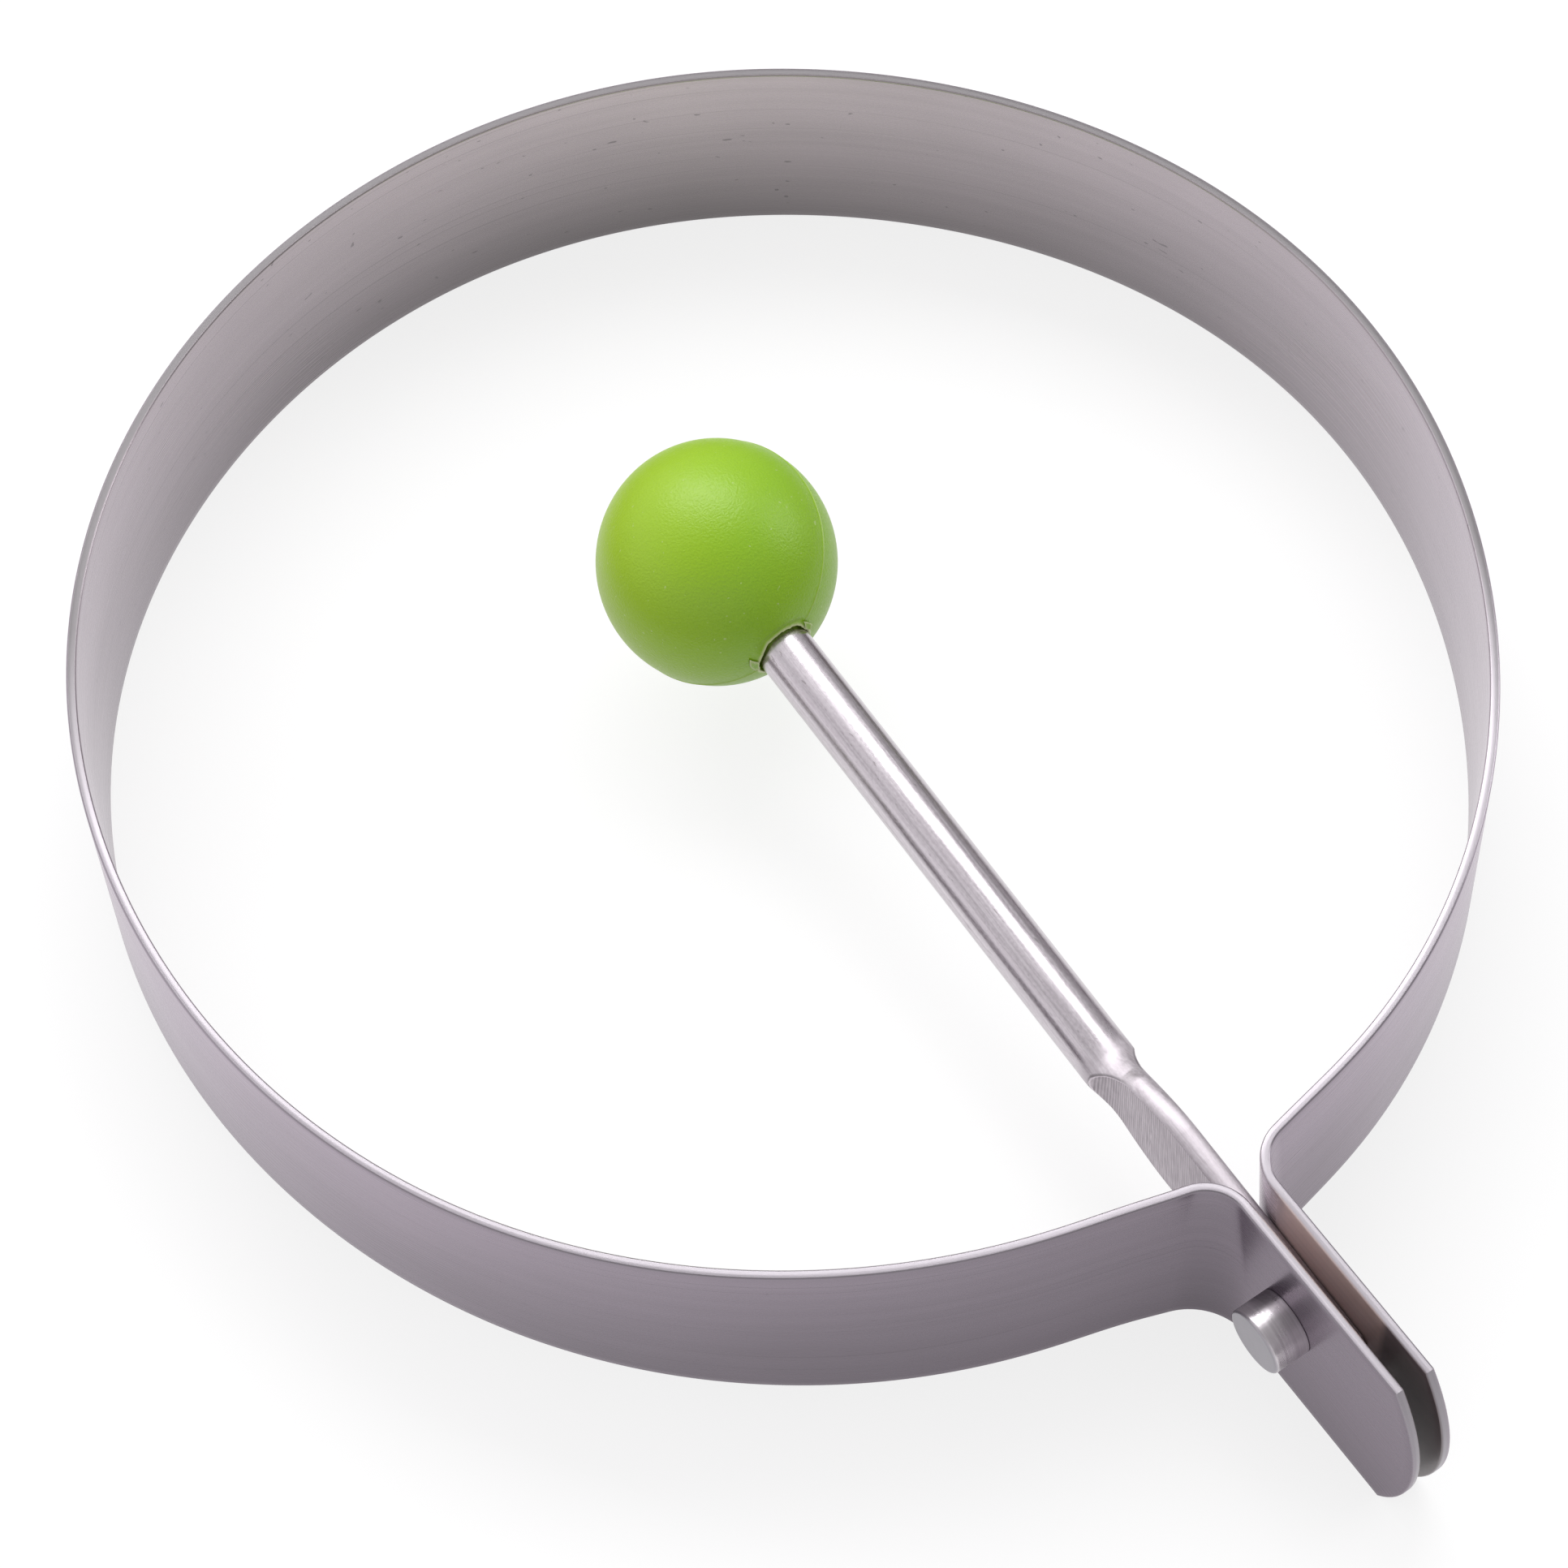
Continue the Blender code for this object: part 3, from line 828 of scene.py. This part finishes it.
class Nodes:
    """Short calls for building a material's node tree."""

    def __init__(self, name):
        self.material = bpy.data.materials.new(name)
        self.material.use_nodes = True
        self.tree = self.material.node_tree
        self.shader = self.tree.nodes["Principled BSDF"]

    def add(self, kind, **settings):
        node = self.tree.nodes.new(kind)
        for name, value in settings.items():
            setattr(node, name, value)
        return node

    def wire(self, source, target):
        self.tree.links.new(source, target)

    def put(self, socket, value):
        if isinstance(value, bpy.types.NodeSocket):
            self.wire(value, socket)
        else:
            socket.default_value = value

    def surface(self, name, value):
        """Give one of the shader's sockets a number or colour, or the result of other nodes."""
        self.put(self.shader.inputs[name], value)

    def attribute(self, name, output="Fac"):
        return self.add("ShaderNodeAttribute", attribute_name=name).outputs[output]

    def place(self):
        return self.add("ShaderNodeTexCoord").outputs["Object"]

    def split(self, vector):
        node = self.add("ShaderNodeSeparateXYZ")
        self.wire(vector, node.inputs[0])
        return node.outputs

    def math(self, operation, *values):
        node = self.add("ShaderNodeMath", operation=operation)
        for socket, value in zip(node.inputs, values):
            self.put(socket, value)
        return node.outputs[0]

    def product(self, first, *others):
        for other in others:
            first = self.math("MULTIPLY", first, other)
        return first

    def sum(self, first, *others):
        for other in others:
            first = self.math("ADD", first, other)
        return first

    def distance(self, value, middle):
        return self.math("ABSOLUTE", self.math("SUBTRACT", value, middle))

    def noise(self, vector, scale, offset=(0, 0, 0), detail=2, roughness=0.5):
        """Noise with its own scale along each axis, in waves per metre."""
        stretch = self.add("ShaderNodeMapping")
        self.put(stretch.inputs["Vector"], vector)
        stretch.inputs["Scale"].default_value = scale
        stretch.inputs["Location"].default_value = offset
        node = self.add("ShaderNodeTexNoise")
        self.wire(stretch.outputs[0], node.inputs["Vector"])
        node.inputs["Scale"].default_value = 1
        node.inputs["Detail"].default_value = detail
        node.inputs["Roughness"].default_value = roughness
        return node.outputs["Fac"]

    def streaks(self, vector, scale, offset=(0, 0, 0), **texture):
        """Noise spread over the whole range from 0 to 1."""
        return self.map(self.noise(vector, scale, offset, **texture), 0.3, 0.7)

    def map(self, value, low, high, new_low=0, new_high=1, smooth=False):
        node = self.add("ShaderNodeMapRange", clamp=True)
        node.interpolation_type = "SMOOTHSTEP" if smooth else "LINEAR"
        for socket, entry in zip(node.inputs, (value, low, high, new_low, new_high)):
            self.put(socket, entry)
        return node.outputs[0]

    def mix(self, factor, first, second):
        node = self.add("ShaderNodeMix", data_type="RGBA")
        self.put(node.inputs["Factor"], factor)
        self.put(node.inputs[6], first)
        self.put(node.inputs[7], second)
        return node.outputs[2]

    def scale(self, colour, factor):
        node = self.add("ShaderNodeVectorMath", operation="SCALE")
        self.put(node.inputs[0], colour)
        self.put(node.inputs["Scale"], factor)
        return node.outputs[0]

    def bump(self, height, strength, distance, under=None):
        node = self.add("ShaderNodeBump")
        self.put(node.inputs["Height"], height)
        node.inputs["Strength"].default_value = strength
        node.inputs["Distance"].default_value = distance
        if under is not None:
            self.put(node.inputs["Normal"], under)
        return node.outputs[0]

    def grain_tangent(self):
        return self.add("ShaderNodeTangent", direction_type="UV_MAP", uv_map="grain_uv").outputs[0]


def rgba(red, green, blue):
    return (red, green, blue, 1.0)


def brushed_band():
    """Stainless strip, brushed along its length, with painted shade low down, near its ends
    outside and on its rims at the back.
    """
    n = Nodes("band_brushed")
    strip = n.attribute("strip", "Vector")
    along, height, off = n.split(strip)
    rim, leaf = n.attribute("rim"), n.attribute("leaf")
    outer = n.math("GREATER_THAN", off, 0)
    inner = n.math("SUBTRACT", 1, outer)
    gap = n.product(leaf, inner)
    fine = n.streaks(strip, (80, 12000, 9000), detail=3, roughness=0.6)
    broad = n.streaks(strip, (16, 1500, 4000), (3, 5, 1))
    cloud = n.map(n.noise(strip, (40, 90, 3000), (9, 2, 4), detail=3), 0.35, 0.7)
    hairs = n.map(n.noise(strip, (9, 5200, 3000), (1, 4, 8), detail=1), 0.66, 0.72)
    specks = n.map(n.noise(strip, (1500, 2600, 5000), (1, 8, 3), detail=0), 0.83, 0.87)

    # Tone: painted shade and light by height and place (darker low down, darkest low at the back
    # inside, lighter high up at the back inside, the inner wall a little darker towards the -X
    # end), then its grain, smudges, hairlines and specks
    aside = n.distance(along, BACK)
    low = n.map(outer, 0, 1, n.map(aside, 0, BACK_FADE, 0.25, 0.56), 0.35)
    high = n.map(outer, 0, 1, n.map(aside, 0, BACK_FADE, 1.14, 0.90), 0.83)
    grain = n.math("SUBTRACT", n.sum(n.product(fine, 0.06), n.product(broad, 0.07)), 0.065)
    grain = n.product(grain, n.map(leaf, 0, 1, 1, 0.3))
    # Painted shade on the outer wall near both ends, strongest by the -X leaf; it also lowers the
    # coat and the gloss tint there
    end_shade = n.map(along, *END_SHADE_FROM_START, END_SHADE_SHARE, 1)
    end_shade = n.math("MINIMUM", end_shade, n.map(along, *END_SHADE_TO_END, 1, 0.85))
    end_shade = n.math("MAXIMUM", end_shade, inner)
    specks = n.product(specks, n.map(outer, 0, 1, 1, 0.3))
    tone = n.product(
        n.map(height, 0, BAND_HEIGHT, low, high),
        n.sum(grain, 1),
        n.map(cloud, 0, 1, 1.03, 0.94),
        end_shade,
        n.map(hairs, 0, 1, 1, 0.80),
        n.map(specks, 0, 1, 1, 0.55),
        n.map(outer, 0, 1, n.map(along, *INNER_LEAN, 0.95, 1.05), 1),
    )
    blush = n.map(aside, 0, BLUSH_FADE)
    steel = n.mix(blush, rgba(0.410, 0.362, 0.368), rgba(0.415, 0.358, 0.402))
    # Painted shade: the outer face gets a darker copy of the steel
    steel = n.scale(n.mix(outer, steel, rgba(0.340, 0.293, 0.345)), tone)

    # Inside the slot the strip is stained brown, with painted shade darkening it towards the
    # blade's end, and painted deep shade past the blade's end
    y = n.split(n.place())[1]
    end = PIVOT.y - BLADE_TAIL
    inwards = n.map(y, end, PIVOT.y + 2 * BOTTOM_BEND)
    stain_and_shade = n.mix(inwards, rgba(0.47, 0.35, 0.32), rgba(0.94, 0.77, 0.73))
    # Painted shade: near black past the blade's end, where the slot is empty
    covered = n.map(y, end - 3.5 * BLADE_CORNER, end - 2 * BLADE_CORNER)
    stain_and_shade = n.mix(covered, rgba(0.10, 0.068, 0.07), stain_and_shade)
    stain_and_shade = n.scale(stain_and_shade, n.map(broad, 0, 1, 0.88, 1.12))
    steel = n.mix(n.product(gap, 0.9), steel, stain_and_shade)

    # Painted shade: the rims darker and rougher round the back
    rim_shade = n.map(n.distance(along, RIM_SHADE_MIDDLE), *RIM_SHADE_FADE, 1, 0)
    lip = n.mix(rim_shade, rgba(0.35, 0.325, 0.355), rgba(0.21, 0.195, 0.205))
    n.surface("Base Color", n.mix(rim, steel, lip))
    rough = n.sum(n.map(fine, 0, 1, 0.20, 0.29), n.product(cloud, 0.05))
    satin = n.product(rim, n.map(rim_shade, 0, 1, 0.42, 0.65))
    satin = n.math("MAXIMUM", satin, n.product(gap, 0.45))
    n.surface("Roughness", n.math("MAXIMUM", rough, satin))
    n.surface("Metallic", n.map(gap, 0, 1, 1, 0.4))
    n.surface("Anisotropic", 0.7)
    n.surface("Anisotropic Rotation", 0.25)
    n.surface("Tangent", n.grain_tangent())
    n.surface("Coat Weight", n.map(end_shade, END_SHADE_SHARE, 1, 0.5, 0.8))
    n.surface("Coat Roughness", 0.3)
    edge = n.mix(outer, rgba(1, 0.95, 1), rgba(1, 0.89, 1))
    edge = n.mix(n.map(end_shade, END_SHADE_SHARE, 1), rgba(0.72, 0.64, 0.72), edge)
    n.surface("Specular Tint", edge)
    marks = n.product(fine, n.map(leaf, 0, 1, 1, 0.4))
    marks = n.math("SUBTRACT", marks, n.product(hairs, 2))
    n.surface("Normal", n.bump(marks, 0.3, 0.000006))
    return n.material


def polished_rod():
    """Drawn and polished rod with lengthwise streaks, and the die's slanted marks on its flats."""
    n = Nodes("rod_polished")
    grain = n.attribute("grain", "Vector")
    across, along, up = n.split(grain)
    pressed, forged = n.attribute("pressed"), n.attribute("forged")
    fine = n.streaks(grain, (6000, 90, 6000), detail=3, roughness=0.65)
    broad = n.streaks(grain, (1500, 30, 1500), (2, 6, 1))
    grit = n.streaks(grain, (7000, 3600, 7000))
    pits = n.map(n.noise(grain, (4600, 1100, 4600), (7, 3, 5)), 0.68, 0.74)

    # The die's marks: slanted waves that wander a little, and patches in line with them
    slant = n.sum(along, n.product(up, DIE_SLANT))
    wobble = n.product(n.noise(grain, (260, 260, 260), detail=1), DIE_WOBBLE)
    hatch = n.math("SINE", n.product(n.sum(slant, wobble), math.tau / DIE_PITCH))
    place = n.add("ShaderNodeCombineXYZ")
    for socket, value in zip(place.inputs, (slant, up, across)):
        n.wire(value, socket)
    patch = n.map(n.noise(place.outputs[0], (5200, 500, 900), detail=3), 0.35, 0.65)
    worked = n.sum(n.map(hatch, -1, 1, 0, 0.6), n.product(patch, 0.4))
    flat = n.mix(worked, rgba(0.40, 0.36, 0.395), rgba(0.68, 0.63, 0.67))

    drawn = n.sum(n.product(fine, 0.5), n.product(broad, 0.25), n.product(grit, 0.25))
    steel = n.mix(drawn, rgba(0.45, 0.408, 0.44), rgba(0.77, 0.725, 0.765))
    pits = n.product(pits, n.map(forged, 0, 1, 0.5, 0))
    steel = n.mix(pits, steel, rgba(0.24, 0.22, 0.22))
    # Painted highlight and dark reflection line where the flats run out
    edge = n.map(n.attribute("edge"), -1, 1, 0.55, 1.45)
    n.surface("Base Color", n.scale(n.mix(pressed, steel, flat), edge))
    rough = n.sum(n.map(drawn, 0.3, 0.7, 0.20, 0.27), n.product(forged, 0.30))
    n.surface("Roughness", rough)
    n.surface("Metallic", 1)
    n.surface("Anisotropic", 0.4)
    n.surface("Anisotropic Rotation", 0.25)
    n.surface("Tangent", n.grain_tangent())
    ripple = n.product(n.sum(fine, grit), n.map(forged, 0, 1, 1, 0.2))
    ripple = n.bump(ripple, 0.22, 0.000005)
    n.surface("Normal", n.bump(n.product(pressed, worked), 0.5, 0.00001, ripple))
    return n.material


def green_plastic():
    """Satin moulded plastic with a fine leathery grain, pale torn edges, specks of dust and a
    painted lighter side.
    """
    n = Nodes("ball_green")
    place = n.place()
    x, y, _ = n.split(place)
    lip, seam = n.attribute("lip"), n.attribute("seam")
    peel = n.streaks(place, (6400, 6400, 6400), roughness=0.55)
    grain = n.streaks(place, (9000, 9000, 9000))
    cloud = n.streaks(place, (130, 130, 130))
    dust = n.map(n.noise(place, (3100, 4300, 3700), (4, 1, 6), detail=0), 0.81, 0.85)
    # Painted light: the green turns lighter and yellower towards +Y and -X, with a little random
    # cloud
    lit_side = n.sum(n.math("SUBTRACT", y, x), n.product(cloud, 0.002))
    lit_side = n.map(lit_side, -0.004, 0.011)
    green = n.mix(lit_side, rgba(0.240, 0.482, 0.003), rgba(0.348, 0.560, 0.003))
    green = n.mix(n.product(grain, 0.2), green, rgba(0.42, 0.64, 0.02))
    green = n.mix(n.product(dust, 0.4), green, rgba(0.62, 0.72, 0.36))
    pale = n.math("MAXIMUM", n.product(seam, 0.5), n.product(lip, 0.95))
    n.surface("Base Color", n.mix(pale, green, rgba(0.60, 0.68, 0.33)))
    n.surface("Roughness", n.map(peel, 0, 1, 0.31, 0.42))
    n.surface("Specular IOR Level", 0.6)
    n.surface("Normal", n.bump(n.sum(peel, n.product(grain, 0.3)), 0.42, 0.00004))
    return n.material


def turned_rivet():
    """Plain turned steel: fine rings on the side and a matt end face."""
    n = Nodes("rivet_turned")
    place = n.place()
    reach = -(LEAF_OUTSIDE + HEAD_HEIGHT)
    face = n.map(n.split(place)[0], reach, reach + HEAD_ROUND, 1, 0, smooth=True)
    rings = n.streaks(place, (7000, 200, 200))
    cloud = n.streaks(place, (900, 900, 900), detail=3)
    steel = n.mix(rings, rgba(0.60, 0.56, 0.59), rgba(0.76, 0.72, 0.75))
    steel = n.mix(n.product(cloud, 0.4), steel, rgba(0.52, 0.49, 0.51))
    matt = n.mix(cloud, rgba(0.31, 0.295, 0.325), rgba(0.37, 0.35, 0.385))
    n.surface("Base Color", n.mix(face, steel, matt))
    n.surface("Roughness", n.sum(n.map(cloud, 0, 1, 0.26, 0.33), n.product(face, 0.04)))
    n.surface("Metallic", 0.88)
    n.surface("Normal", n.bump(rings, 0.2, 0.00001, n.bump(cloud, 0.2, 0.00003)))
    return n.material


# Studio

def build_floor():
    """Pale floor that shows white to the camera and keeps the object's shadow."""
    shape = bmesh.new()
    bmesh.ops.create_grid(shape, x_segments=1, y_segments=1, size=FLOOR_HALF)
    floor = link("studio_floor", shape, (0, 0, -FLOOR_DROP))
    n = Nodes("floor_pale")
    tree = n.tree
    tree.nodes.remove(n.shader)
    paths = n.add("ShaderNodeLightPath")
    shown, lit = n.add("ShaderNodeBsdfDiffuse"), n.add("ShaderNodeBsdfDiffuse")
    glow = n.add("ShaderNodeEmission")
    shown.inputs["Color"].default_value = FLOOR_SHOWN
    lit.inputs["Color"].default_value = FLOOR_LIT
    glow.inputs["Color"].default_value = FLOOR_GLOW
    added, choice = n.add("ShaderNodeAddShader"), n.add("ShaderNodeMixShader")
    n.wire(shown.outputs[0], added.inputs[0])
    n.wire(glow.outputs[0], added.inputs[1])
    seen = n.math("MAXIMUM", paths.outputs["Is Camera Ray"], paths.outputs["Is Glossy Ray"])
    n.wire(n.math("MAXIMUM", seen, paths.outputs["Is Transmission Ray"]), choice.inputs[0])
    n.wire(lit.outputs[0], choice.inputs[1])
    n.wire(added.outputs[0], choice.inputs[2])
    n.wire(choice.outputs[0], tree.nodes["Material Output"].inputs["Surface"])
    floor.data.materials.append(n.material)


def build_world():
    """Pale studio walls, brightest high up behind the object."""
    world = bpy.data.worlds.new("studio")
    bpy.context.scene.world = world
    world.use_nodes = True
    tree = world.node_tree
    place = tree.nodes.new("ShaderNodeTexCoord")
    split = tree.nodes.new("ShaderNodeSeparateXYZ")
    tree.links.new(place.outputs["Generated"], split.inputs[0])

    def wall(stops):
        ramp = tree.nodes.new("ShaderNodeValToRGB")
        tree.links.new(split.outputs["Z"], ramp.inputs[0])
        elements = ramp.color_ramp.elements
        elements.remove(elements[-1])
        for index, (height, level) in enumerate(stops):
            stop = elements.new(height) if index else elements[0]
            stop.position = height
            stop.color = rgba(level, level * STUDIO_GREEN, level)
        return ramp.outputs["Color"]

    def blend(axis, reach, first, second):
        across = tree.nodes.new("ShaderNodeMapRange")
        tree.links.new(split.outputs[axis], across.inputs[0])
        across.inputs[1].default_value, across.inputs[2].default_value = reach
        mix = tree.nodes.new("ShaderNodeMix")
        mix.data_type = "RGBA"
        tree.links.new(across.outputs[0], mix.inputs["Factor"])
        tree.links.new(first, mix.inputs[6])
        tree.links.new(second, mix.inputs[7])
        return mix.outputs[2]

    front = blend("X", LEFT_TO_RIGHT, wall(FRONT_LEFT), wall(FRONT_RIGHT))
    back = blend("X", LEFT_TO_RIGHT, wall(BACK_LEFT), wall(BACK_RIGHT))
    around = blend("Y", FRONT_TO_BACK, front, back)
    tree.links.new(around, tree.nodes["Background"].inputs["Color"])


def add_softbox(box):
    """Long area light that faces the object, laid between two directions seen from it."""
    towards = (box.right_end + box.left_end).normalized()
    along = (box.right_end - box.left_end).normalized()
    upward = towards.cross(along).normalized()
    light = bpy.data.lights.new(box.name, "AREA")
    light.shape = "RECTANGLE"
    light.size, light.size_y = box.size
    light.energy = box.radiance * math.pi * box.size[0] * box.size[1]
    lamp = bpy.data.objects.new(box.name, light)
    bpy.context.scene.collection.objects.link(lamp)
    axes = Matrix((upward.cross(towards), upward, towards)).transposed()
    lamp.matrix_world = Matrix.Translation(towards * SOFTBOX_DISTANCE) @ axes.to_4x4()


def build_camera():
    camera = bpy.data.cameras.new("photo_view")
    camera.sensor_width = CAMERA_SENSOR_MM
    camera.lens = CAMERA_LENS_MM
    camera.clip_start = CAMERA_NEAR
    camera.clip_end = CAMERA_FAR
    made = bpy.data.objects.new("photo_view", camera)
    bpy.context.scene.collection.objects.link(made)
    made.location = CAMERA_PLACE
    made.rotation_euler = CAMERA_TURN
    bpy.context.scene.camera = made


def dress(piece, surface, body, node):
    """Give a piece its material, and let it stand for a CAD node on that node's body."""
    piece.data.materials.clear()
    piece.data.materials.append(surface)
    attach(piece, body)
    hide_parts(node)


dress(build_band(), brushed_band(), "ring", "ring_band")
dress(build_rod(), polished_rod(), "handle", "handle_rod")
dress(build_ball(), green_plastic(), "handle", "ball_knob")
dress(build_rivet(), turned_rivet(), "ring", "pivot_rivet")

build_floor()
build_world()
for softbox in SOFTBOXES:
    add_softbox(softbox)
build_camera()
bpy.context.scene.view_settings.view_transform = "Standard"
